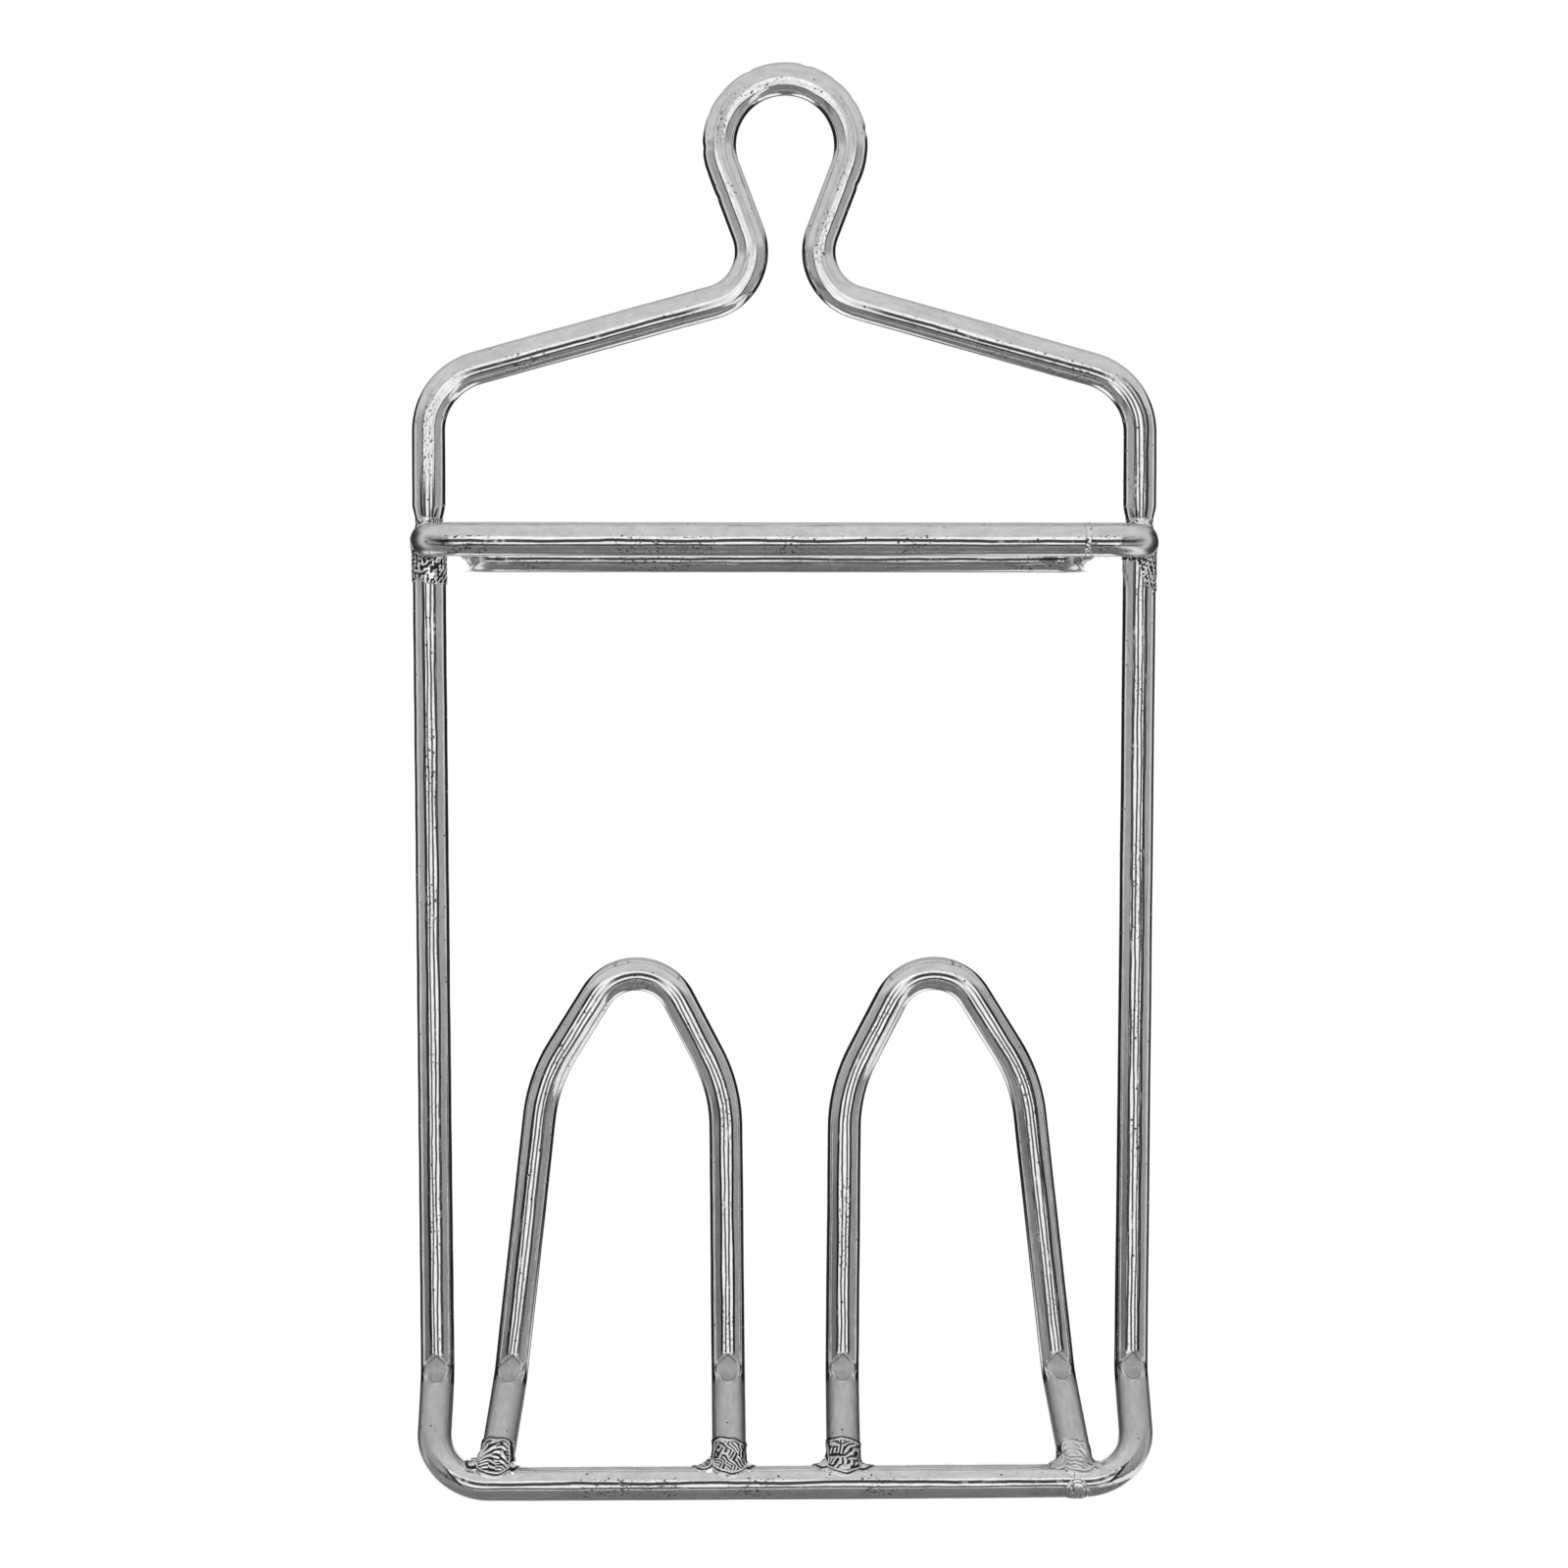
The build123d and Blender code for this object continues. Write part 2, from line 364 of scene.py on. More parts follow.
def cut_end(rings, tangents, along, end, cut):
    """Moves the rings at a tube's end, 0 or 1, along it until they meet a round rod. The cut
    says how much of the tube moves, then gives a point on the rod and the rod's direction."""
    reach, rod_point, rod_way = cut
    order = slice(None) if end == 1 else slice(None, None, -1)
    ordered = rings[order]
    length = along if end == 1 else along[-1] - along[::-1]
    first = int(np.searchsorted(length, length[-1] - reach))
    way = tangents[-1] if end == 1 else -tangents[0]
    travel = cope(ordered[first], way, np.array(rod_point), np.array(rod_way), WIRE - BED)
    share = (length[first:] - length[first]) / (length[-1] - length[first])
    ordered[first:] = ordered[first][None] + (share[:, None] * travel[None])[:, :, None] * way


def tight_bends(tangents, along):
    """1 where a level run is bent tight, as in the loop's corners, and 0 elsewhere."""
    bend = np.linalg.norm(np.gradient(tangents, axis=0), axis=1) / np.gradient(along)
    bend = np.convolve(np.pad(bend, 6, "edge"), np.full(13, 1 / 13), "valid")
    return rise(bend, 0.06, 0.08) * (np.abs(tangents[:, 2]) < 0.1)


def on_rings(values):
    """One value for each ring, given to all its points."""
    return np.repeat(values[:, None], SIDES, axis=1)


def wire(name, line, seed, material, ends=(None, None), shape=None):
    """A round wire along a line. Each end is None or a cut, as cut_end takes it."""
    tangents, across, other = frames(line)
    steps = np.linalg.norm(np.diff(line, axis=0), axis=1)
    along = np.concatenate([[0], np.cumsum(steps)])
    angles = np.linspace(0, 2 * pi, SIDES, endpoint=False)
    spoke = across[:, None] * np.cos(angles)[None, :, None]
    spoke = spoke + other[:, None] * np.sin(angles)[None, :, None]
    radii = drawn_radii(along, angles, seed)
    if shape is not None:
        radii = shape(line, along, spoke, radii)
    rings = line[:, None] + spoke * radii[:, :, None]
    for end, cut in enumerate(ends):
        if cut is not None:
            cut_end(rings, tangents, along, end, cut)
    rings, pressed, painted_shade = press_marks(line, tangents, rings, spoke)

    lay = np.empty((len(line), SIDES, 3))
    lay[..., 0] = along[:, None] + seed * LAY_SHIFT
    lay[..., 1] = WIRE * np.cos(angles)
    lay[..., 2] = WIRE * np.sin(angles)
    # where the standing wires' painted dark reflection lines show
    standing = reflection_line_strength(line) * rise(np.abs(tangents[:, 2]), 0.6, 0.25)
    layers = {
        "lay": lay,
        "pressed": pressed,
        "painted_shade": painted_shade,
        "stretched": on_rings(tight_bends(tangents, along)),
        "face": reflection_line_frame(line, tangents, spoke),
        "standing": on_rings(standing),
    }
    layers = {key: values.reshape(-1, *values.shape[2:]) for key, values in layers.items()}

    here = np.arange(SIDES)
    ring = np.stack([here, (here + 1) % SIDES, (here + 1) % SIDES + SIDES, here + SIDES], axis=1)
    faces = (ring[None] + np.arange(len(line) - 1)[:, None, None] * SIDES).reshape(-1, 4).tolist()
    verts, layers, caps = closed_ends(rings.reshape(-1, 3), layers, len(line))
    new_piece(name, verts, faces + caps, layers, material)


def extended(layers, start, count):
    """The layers with a stretch of their own values repeated at the end."""
    return {key: np.concatenate([v, v[start:start + count]]) for key, v in layers.items()}


def closed_ends(verts, layers, rings):
    """Adds a shallow domed cap to each end of a tube."""
    caps = []
    for end in (0, 1):
        base = 0 if end == 0 else (rings - 1) * SIDES
        loop = list(range(base, base + SIDES))
        rim = verts[base:base + SIDES]
        middle = rim.mean(0)
        step = middle - verts[(SIDES if end == 0 else base - SIDES):][:SIDES].mean(0)
        for share, lift in CAP_RINGS:
            start = len(verts)
            ring = middle + (rim - middle) * share + unit(step) * lift
            verts = np.concatenate([verts, ring])
            layers = extended(layers, base, SIDES)
            for j in range(SIDES):
                k = (j + 1) % SIDES
                quad = (loop[j], loop[k], start + k, start + j)
                caps.append(quad if end == 1 else quad[::-1])
            loop = list(range(start, start + SIDES))
        verts = np.concatenate([verts, (middle + unit(step) * CAP_TIP)[None]])
        layers = extended(layers, base, 1)
        tip = len(verts) - 1
        for j in range(SIDES):
            k = (j + 1) % SIDES
            tri = (loop[j], loop[k], tip)
            caps.append(tri if end == 1 else tri[::-1])
    return verts, layers, caps


def skin(name, centre, solid, material, detail=7):
    """Weld metal: the closed skin round centre on which solid's first value crosses zero.
    Solid's second value, 0 to 1, says how deep a point lies between the weld's ripples."""
    ball = bmesh.new()
    bmesh.ops.create_icosphere(ball, subdivisions=detail, radius=1.0)
    ball.verts.ensure_lookup_table()
    ways = np.array([v.co for v in ball.verts])
    faces = [tuple(v.index for v in f.verts) for f in ball.faces]
    ball.free()
    far = np.full(len(ways), SKIN_NEAR)
    for _ in range(MARCH_STEPS):
        depth, valley = solid(centre + ways * far[:, None])
        step = np.clip(-depth * MARCH_SHARE, -MARCH_IN, MARCH_OUT)
        far = np.clip(far + step, SKIN_NEAR, SKIN_FAR)
    verts = centre + ways * far[:, None]
    layers = {"lay": verts.copy(), "valley": valley}
    new_piece(name, verts, faces, layers, material)


# ---------------------------------------------------------------- node helpers
class Nodes:
    """Short calls that add shader nodes and join them."""

    def __init__(self, tree):
        self.tree = tree
        tree.nodes.clear()

    def add(self, kind, inputs=None, **settings):
        """A new node. Each input is a number or vector, or the output of another node."""
        node = self.tree.nodes.new(kind)
        for key, value in settings.items():
            setattr(node, key, value)
        for key, value in (inputs or {}).items():
            if isinstance(value, bpy.types.NodeSocket):
                self.tree.links.new(value, node.inputs[key])
            else:
                node.inputs[key].default_value = value
        return node

    def math(self, operation, a, b=0.0):
        return self.add("ShaderNodeMath", {0: a, 1: b}, operation=operation).outputs[0]

    def span(self, value, low, high, start=0.0, stop=1.0):
        """Turns low..high into start..stop along an S-curve."""
        ends = {"Value": value, "From Min": low, "From Max": high, "To Min": start, "To Max": stop}
        return self.add("ShaderNodeMapRange", ends, interpolation_type="SMOOTHSTEP").outputs[0]

    def band(self, value, low, high, edge):
        """1 between low and high, 0 outside, with soft edges."""
        above = self.span(value, low - edge, low + edge)
        below = self.span(value, high - edge, high + edge, 1.0, 0.0)
        return self.math("MULTIPLY", above, below)

    def mix(self, share, a, b):
        return self.add("ShaderNodeMix", {0: share, 2: a, 3: b}, data_type="FLOAT").outputs[0]

    def overlap(self, *masks):
        """1 where every mask is 1."""
        whole = masks[0]
        for mask in masks[1:]:
            whole = self.math("MULTIPLY", whole, mask)
        return whole

    def vector_math(self, operation, a, b=(0.0, 0.0, 0.0)):
        """A node rather than its output, which is 0 for a vector and "Value" for a number."""
        return self.add("ShaderNodeVectorMath", {0: a, 1: b}, operation=operation)

    def attribute(self, name, output="Fac"):
        return self.add("ShaderNodeAttribute", attribute_name=name).outputs[output]

    def noise(self, vector, stretch, detail=3.0, roughness=0.55, distortion=0.0):
        """Noise whose frequency along each axis is given by stretch."""
        scaled = self.vector_math("MULTIPLY", vector, stretch).outputs[0]
        inputs = {"Vector": scaled, "Scale": 1.0, "Detail": detail}
        inputs.update({"Roughness": roughness, "Distortion": distortion})
        return self.add("ShaderNodeTexNoise", inputs).outputs[0]

    def bump(self, height, depth, normal=None):
        """A normal tilted by a height that counts as depth metres, over another normal."""
        inputs = {"Strength": 1.0, "Distance": depth, "Height": height}
        if normal is not None:
            inputs["Normal"] = normal
        return self.add("ShaderNodeBump", inputs).outputs[0]


# Painted dark reflection lines, with lengths in mm: where each lies round the wire from the
# lines' middle, half its width, how dark it is, whether it belongs to level runs, and where its
# noise starts
PAINTED_REFLECTION_LINES = (
    (0.0, 0.30, 0.98, True, 3.1),
    (0.76, 0.14, 0.80, True, 102.3),
    (-1.12, 0.23, 0.97, False, 158.1),
    (-0.38, 0.18, 0.95, False, 244.9),
    (0.34, 0.17, 0.92, False, 350.3),
    (1.02, 0.22, 0.95, False, 440.2),
)


def painted_reflection_lines(n, lay, shade, tone, pressed):
    """Thin dark lines along the wire, painted dark reflections: two where it runs level and
    four where it stands. Small dark specks lie in patches among them."""
    standing = n.attribute("standing")
    face = n.attribute("face", "Vector")
    level, beside, middle = n.add("ShaderNodeSeparateXYZ", {0: face}).outputs
    place = n.math("MULTIPLY", n.math("ARCTAN2", beside, middle), WIRE)
    # each line darkens the colour: a painted dark reflection
    for line_place, half, depth, is_level, start in PAINTED_REFLECTION_LINES:
        moved = n.vector_math("ADD", lay, (start, 0, 0)).outputs[0]
        wander = n.span(n.noise(moved, (0.045, 0.0, 0.0), 4.0, 0.62), 0.3, 0.7, -0.16, 0.16)
        dash = n.span(n.noise(moved, (0.10, 0.0, 0.0), 5.0, 0.75), 0.36, 0.46, 0.55, 1.0)
        off = n.math("SUBTRACT", n.math("SUBTRACT", place, line_place), wander)
        line = n.span(n.math("ABSOLUTE", off), half * 0.6, half * 1.25, depth, 0.0)
        line = n.overlap(line, level if is_level else standing, dash)
        shade = n.mix(line, shade, tone * 0.04)

    specks = n.span(n.noise(lay, (1.5, 3.0, 3.0), 2.0), 0.57, 0.62)
    patches = n.span(n.noise(lay, (0.05, 0.0, 0.0), 3.0, 0.6), 0.46, 0.58)
    around = n.mix(level, n.band(place, -1.0, 0.9, 0.25), n.band(place, -1.0, 2.9, 0.25))
    unpressed = n.span(pressed, 0.0, 0.3, 0.95, 0.0)
    return n.mix(n.overlap(specks, patches, around, unpressed), shade, tone * 0.06)


def pits(n, lay, cells_per_mm):
    """1 in small round pits, of which about three cells in five have one."""
    cells = n.add("ShaderNodeTexVoronoi", {"Vector": lay, "Scale": cells_per_mm}).outputs
    draws = n.add("ShaderNodeSeparateColor", {0: cells["Color"]}).outputs
    size = n.mix(draws[1], 0.06, 0.17)
    spot = n.span(cells["Distance"], n.math("MULTIPLY", size, 0.6), size)
    spot = n.math("SUBTRACT", 1.0, spot)
    return n.math("MULTIPLY", spot, n.span(draws[0], 0.36, 0.41))


def metal(name, tone, gloss, welded=False):
    """Bright plated steel. Patterns lie along the wire through the lay attribute, in mm."""
    material = bpy.data.materials.new(name)
    material.use_nodes = True
    n = Nodes(material.node_tree)
    lay = n.attribute("lay", "Vector")
    if welded:
        grain = n.noise(lay, (1.9, 1.9, 1.9), 4.0)
        draw = n.noise(lay, (0.6, 0.6, 0.6), 3.0)
        cloud = n.noise(lay, (0.35, 0.35, 0.35), 3.0)
    else:
        grain = n.noise(lay, (0.05, 1.5, 1.5), 5.0, 0.62)
        draw = n.noise(lay, (0.014, 0.6, 0.6), 3.0)
        cloud = n.noise(lay, (0.13, 0.35, 0.35), 4.0, 0.65, 0.8)
    dimple = n.noise(lay, (0.55, 0.8, 0.8), 3.0, 0.6)
    mottle = n.noise(lay, (0.55, 1.3, 1.3), 3.0, 0.6)
    pit = pits(n, lay, 0.9 if welded else 0.68)

    # grey of the plating, and how rough it is
    shade = n.mix(grain, tone * 0.92, tone * 1.06)
    shade = n.mix(n.span(cloud, 0.40, 0.72), shade, n.math("MULTIPLY", shade, 0.90))
    shade = n.math("MULTIPLY", shade, n.span(mottle, 0.30, 0.70, 0.91, 1.06))
    shade = n.mix(pit, shade, tone * 0.22)
    rough = n.mix(n.span(grain, 0.3, 0.75), gloss * 0.7, gloss * 1.5)
    rough = n.math("ADD", rough, n.span(cloud, 0.5, 0.8, 0.0, gloss * 0.8))
    rough = n.mix(pit, rough, 0.5)
    if welded:
        valley = n.attribute("valley")
        shade = n.mix(valley, shade, tone * 0.03)
        rough = n.mix(valley, rough, 0.30)
    else:
        pressed = n.attribute("pressed")
        rough = n.math("ADD", rough, n.math("MULTIPLY", n.attribute("stretched"), 0.21))
        rough = n.mix(pressed, rough, 0.58)
        shade = n.mix(pressed, shade, n.math("MULTIPLY", shade, 0.62))
        # painted shade beside the press marks' arches
        shade = n.mix(n.attribute("painted_shade"), shade, n.math("MULTIPLY", shade, 0.42))
        # painted dark reflection lines along the wire, then dark specks
        shade = painted_reflection_lines(n, lay, shade, tone, pressed)
    bluish = {0: shade, 1: n.math("MULTIPLY", shade, 1.004), 2: n.math("MULTIPLY", shade, 1.012)}

    # relief: grain and draw marks, then soft dimples, then the pits
    height = n.math("ADD", n.math("MULTIPLY", grain, 0.55), draw)
    normal = n.bump(height, 0.00003 if welded else 0.000012)
    normal = n.bump(dimple, 0.000010, normal)
    normal = n.bump(n.math("SUBTRACT", 1.0, pit), 0.00007, normal)
    surface = n.add("ShaderNodeBsdfPrincipled", {
        "Base Color": n.add("ShaderNodeCombineColor", bluish).outputs[0],
        "Metallic": 1.0,
        "Roughness": rough,
        "Normal": normal,
    })
    n.add("ShaderNodeOutputMaterial", {"Surface": surface.outputs[0]})
    return material


plated = metal("plated_wire", 0.76, 0.055)
bead = metal("weld_bead", 0.86, 0.08, welded=True)
dressed = metal("dressed_weld", 0.84, 0.07, welded=True)


# ---------------------------------------------------------------- wires
tangent = np.array([EYE_RADIUS * cos(NECK_ANGLE), 0, -EYE_RADIUS * sin(NECK_ANGLE)])
neck = tangent - NECK_RUN * np.array([sin(NECK_ANGLE), 0, cos(NECK_ANGLE)])
shoulder_z = neck[2] - (HALF_TOP - neck[0]) * tan(SHOULDER_ANGLE)
tip_z = LOOP_Z + WIRE
side_line = rounded(
    [(HALF_TOP, 0, tip_z), (HALF_TOP, 0, shoulder_z), neck, tangent], [SHOULDER_BEND, NECK_BEND]
)
eye_angles = np.linspace(-NECK_ANGLE, pi + NECK_ANGLE, EYE_POINTS)[:, None]
eye_line = EYE_RADIUS * np.hstack([np.cos(eye_angles), 0 * eye_angles, np.sin(eye_angles)])
hanger_line = np.concatenate([side_line[:-1], eye_line, mirrored(side_line)[::-1][1:]])

loop_line = rounded(
    [
        (LOOP_SEAM_X + SEAM_GAP / 2, LOOP_FRONT, LOOP_Z),
        (HALF_TOP, LOOP_FRONT, LOOP_Z),
        (HALF_TOP, LOOP_BACK, LOOP_Z),
        (-HALF_TOP, LOOP_BACK, LOOP_Z),
        (-HALF_TOP, LOOP_FRONT, LOOP_Z),
        (LOOP_SEAM_X - SEAM_GAP / 2, LOOP_FRONT, LOOP_Z),
    ],
    [LOOP_BEND] * 4,
)


def frame_line(side, bar_end):
    """Centreline of an upright with its corner and its share of the bottom bar."""
    points = [
        (side * HALF_TOP, 0, LOOP_Z),
        on_strip(side * HALF_BOTTOM, 0),
        on_strip(side * HALF_BOTTOM, STRIP),
        on_strip(bar_end, STRIP),
    ]
    return rounded(points, [PRESS_BEND, CORNER_BEND])


def leg_x(elbow, foot_x, along):
    """Sideways place of a straight prong leg, along the strip from the bend's corner."""
    drop = elbow[1] - PRESS_Z
    return elbow[0] + (foot_x - elbow[0]) * (drop + along) / (drop + STRIP)


LEGS = [(PRONG_INNER_ELBOW, PRONG_INNER_FOOT), (PRONG_OUTER_ELBOW, PRONG_OUTER_FOOT)]
feet = [[on_strip(leg_x(*leg, along), along) for along in (STRIP, 0)] for leg in LEGS]
arch = [(x, 0, z) for x, z in (PRONG_INNER_ELBOW, PRONG_APEX, PRONG_OUTER_ELBOW)]
prong_line = rounded(
    [*feet[0], *arch, *reversed(feet[1])],
    [PRESS_BEND, ELBOW_BEND, APEX_BEND, ELBOW_BEND, PRESS_BEND],
)
left_frame_line = frame_line(-1, BAR_SEAM_X - SEAM_GAP / 2)
right_frame_line = frame_line(1, BAR_SEAM_X + SEAM_GAP / 2)

X_WAY, Y_WAY = (1.0, 0.0, 0.0), (0.0, 1.0, 0.0)
bar_cut = (4.5, on_strip(0, STRIP), X_WAY)


def rod_cut(side, reach):
    """Cut that ends a wire on the loop's side run."""
    return (reach, (side * HALF_TOP, 0, LOOP_Z), Y_WAY)


def hanger_shape(line, along, spoke, radii):
    """Cropped, narrowed ends of the hanger's legs, and tool marks round the eye's outside."""
    from_end = np.minimum(along, along[-1] - along)
    share = rise(from_end, 0, TIP_TAPER) ** TIP_CURVE
    radii = radii - (WIRE - TIP_RADIUS) * (1 - share)[:, None]
    from_eye = np.linalg.norm(line, axis=1)
    on_eye = fall(from_eye, EYE_RADIUS + TOOL_MARK_REACH, TOOL_MARK_REACH)
    outer = np.clip(np.einsum("ijk,ik->ij", spoke, line / from_eye[:, None]), 0, 1) ** 2
    long, short = TOOL_MARK_WAVES
    dents = np.sin(along * 2 * pi / long) + 0.5 * np.sin(along * 2 * pi / short + 1.0)
    dents = np.clip(dents, 0, None) ** 2 / 2
    return radii - TOOL_MARK_DEPTH * (on_eye * dents)[:, None] * outer


wire("hanger_wire", hanger_line, 1, plated, (rod_cut(1, 0.5), rod_cut(-1, 0.5)), hanger_shape)
wire("standoff_loop", loop_line, 2, plated)
wire("left_frame_wire", refined(left_frame_line), 3, plated, (rod_cut(-1, 6.0), None))
wire("right_frame_wire", refined(right_frame_line), 4, plated, (rod_cut(1, 6.0), None))
wire("left_prong", refined(mirrored(prong_line)), 5, plated, (bar_cut, bar_cut))
wire("right_prong", refined(prong_line), 6, plated, (bar_cut, bar_cut))


# ---------------------------------------------------------------- welds
bar_line = np.concatenate([left_frame_line, right_frame_line[::-1]])
STRIP_AXES = np.array([X_WAY, STRIP_OUT, STRIP_DOWN])

# The welds' ridges, from crest to crest
MAZE_WAVE, CROSS_WAVE, ARC_WAVE = 0.64, 0.68, 0.72   # of a rippled weld
EDGE_ARC_WAVE = 0.6                                  # along a frame weld's edge
FULL_SHADE_HEIGHT = 0.05      # ridges as high as this have valleys as dark as they come

# The welds' sizes. A foot weld's are places on the strip, except for its width.
FOOT_CENTRE, FOOT_TOP, FOOT_BOTTOM = 17.6, 13.7, 21.2
FOOT_HALF_WIDTH = 3.5
FLARE_OUT, FLARE_ALONG = 0.6, 18.9
FLARE_HALF_DEPTH, FLARE_HALF_HEIGHT = 3.0, 2.5
HANGER_WELD = (2.85, 3.05, 1.85)
TIP_REACH = 4.0               # how far above and below its end a tip counts in its weld
FRAME_WELD = (3.9, 4.4, 8.0)
FRAME_WELD_DROP = 0.5         # from the loop's underside to the weld's centre
FRAME_WELD_HALF_WIDTH = 3.44
SLOPE_WIDTH = 3.2             # of the slope in a frame weld's lower edge
SEAM_HALF_WIDTH = 0.52
SIDE_RUN_HALF = 6.0           # half length of the side run that a weld meets


def calm_places(p, seed):
    """1 in the smooth places that a patchy weld leaves between its ridges."""
    return np.clip(0.5 + waves(p, seed + 9, 5, (2.4, 5.0)) * 1.4, 0, 1)


def ripples(p, edge, seed, rings=1.1, patchy=0.0):
    """Ridges of weld metal, -1 to 1: arcs that follow the weld's edge, then crooked
    herringbone. Patchy, 0 to 1, leaves smooth places between them."""
    warp = waves(p, seed, 5, (2.0, 4.0))
    rng = np.random.default_rng(seed + 50)
    way, other = unit(rng.normal(size=3)), unit(rng.normal(size=3))
    maze = np.sin(p @ way * 2 * pi / MAZE_WAVE + warp * 1.9)
    cross = np.sin(p @ other * 2 * pi / CROSS_WAVE + warp * 2.2)
    turned = np.clip(0.5 + waves(p, seed + 7, 4, (1.6, 3.0)) * 3, 0, 1)
    maze = maze + (cross - maze) * turned
    arcs = np.sin(edge * 2 * pi / ARC_WAVE + warp * 0.6 + 1.2)
    ridges = maze + (arcs - maze) * rise(edge, -rings, 0.3)
    return ridges * (1 - patchy * calm_places(p, seed))


def metal_over(body, edge, ridges, thick, height):
    """Weld skin over a body: thick metal with ridges, ended at its edge."""
    surface = body - thick - ridges * height
    valley = np.clip(0.3 - ridges * 3.0, 0, 1) * min(1, height / FULL_SHADE_HEIGHT)
    return np.maximum(surface, edge), valley


def foot_weld(name, side, foot_x, prong, seed, flares, height, patchy, top=FOOT_TOP, thick=0.11):
    """Weld round a prong's foot, up to top on the strip. Flares are the wings of metal along
    the bar on either side: their middles and half lengths."""
    centre = on_strip(side * foot_x, FOOT_CENTRE)
    leg, bar = near(prong, centre), near(bar_line, centre)

    def solid(p):
        q = (p - on_strip(side * foot_x, 0)) @ STRIP_AXES.T
        x, along = q[:, 0], q[:, 2]
        width = 1.1 + 2.2 * np.clip(0.5 - x / 3.0, 0, 1)
        body = melt(to_line(p, leg) - WIRE, to_line(p, bar) - WIRE, width)
        edge = np.maximum(top - along + 0.12 * x, along - FOOT_BOTTOM + 0.17 * x * x)
        edge = np.maximum(edge, np.abs(x) - FOOT_HALF_WIDTH)
        for middle, half_length in flares:
            place = np.array([middle, FLARE_OUT, FLARE_ALONG])
            flare = ellipsoid(q, place, (half_length, FLARE_HALF_DEPTH, FLARE_HALF_HEIGHT))
            edge = np.minimum(edge, flare)
        edge = edge + 0.10 * waves(p, seed + 3, 4, (1.4, 3.0))
        ridges = ripples(p, edge, seed, patchy=patchy)
        return metal_over(body, edge, ridges, thick, height)

    skin(name, centre, solid, bead)


left_line = mirrored(prong_line)
foot_weld("left_prong_outer_weld", -1, PRONG_OUTER_FOOT, left_line, 21,
          [(-3.2, 2.9), (3.3, 1.5)], height=0.12, patchy=0.0, top=13.4, thick=0.17)
foot_weld("left_prong_inner_weld", -1, PRONG_INNER_FOOT, left_line, 22,
          [(-4.0, 3.0), (3.3, 1.4)], height=0.10, patchy=0.55)
foot_weld("right_prong_inner_weld", 1, PRONG_INNER_FOOT, prong_line, 23,
          [(-3.4, 2.3), (3.6, 2.0)], height=0.10, patchy=0.5)
foot_weld("right_prong_outer_weld", 1, PRONG_OUTER_FOOT, prong_line, 24,
          [(-3.2, 2.2), (3.4, 2.4)], height=0.032, patchy=0.95, top=14.4, thick=0.07)


def side_run(side):
    """The stretch of the loop's side run that the welds above and below it meet."""
    x = side * HALF_TOP
    return np.array([(x, -SIDE_RUN_HALF, LOOP_Z), (x, SIDE_RUN_HALF, LOOP_Z)])


def hanger_weld(name, side, seed):
    """Thin weld between a cropped tip and the loop's side run."""
    centre = np.array([side * HALF_TOP, 0, tip_z])
    rod = side_run(side)

    def solid(p):
        share = rise(p[:, 2], tip_z, TIP_TAPER) ** TIP_CURVE
        end = np.hypot(p[:, 0] - centre[0], p[:, 1]) - (TIP_RADIUS + (WIRE - TIP_RADIUS) * share)
        end = np.maximum(end, np.abs(p[:, 2] - tip_z) - TIP_REACH)
        body = melt(end, to_line(p, rod) - WIRE, 1.5)
        edge = ellipsoid(p, centre, HANGER_WELD) + 0.12 * waves(p, seed + 3, 4, (1.2, 2.4))
        ridges = ripples(p, edge, seed, rings=0.3, patchy=0.4)
        return metal_over(body, edge, ridges, thick=0.05, height=0.06)

    skin(name, centre, solid, bead, 6)


hanger_weld("hanger_weld_left", -1, 31)
hanger_weld("hanger_weld_right", 1, 32)


def frame_weld(name, side, line, seed, lower, start, patchy):
    """Weld between the loop's underside and an upright. Lower gives its lower edge's height
    at the wire's left and right, and start how far left of the middle the slope begins."""
    centre = np.array([side * HALF_TOP, 0, LOOP_Z - WIRE - FRAME_WELD_DROP])
    leg, rod = near(line, centre), side_run(side)

    def solid(p):
        x = p[:, 0] - centre[0]
        body = melt(to_line(p, leg) - WIRE, to_line(p, rod) - WIRE, 0.9)
        share = rise(x, -start, SLOPE_WIDTH)
        share = share * share * (3 - 2 * share)
        floor = lower[0] + (lower[1] - lower[0]) * share
        edge = np.maximum((floor - p[:, 2]) * 0.7, ellipsoid(p, centre, FRAME_WELD))
        edge = edge + 0.12 * waves(p, seed + 3, 4, (1.4, 3.0))
        spatter = np.clip(waves(p, seed + 20, 9, (0.42, 0.85)) * 1.5, -1, 1)
        arcs = np.sin(edge * 2 * pi / EDGE_ARC_WAVE + 1.2)
        ridges = spatter + (arcs - spatter) * rise(edge, -0.3, 0.3)
        ridges = ridges * (1 - patchy * calm_places(p, seed))
        surface, valley = metal_over(body, edge, ridges, thick=0.09, height=0.07)
        return np.maximum(surface, np.abs(x) - FRAME_WELD_HALF_WIDTH), valley

    skin(name, centre, solid, bead)


frame_weld("frame_weld_left", -1, left_frame_line, 41, (-76.7, -77.3), 2.0, 0.1)
frame_weld("frame_weld_right", 1, right_frame_line, 42, (-73.2, -78.6), 1.3, 0.0)


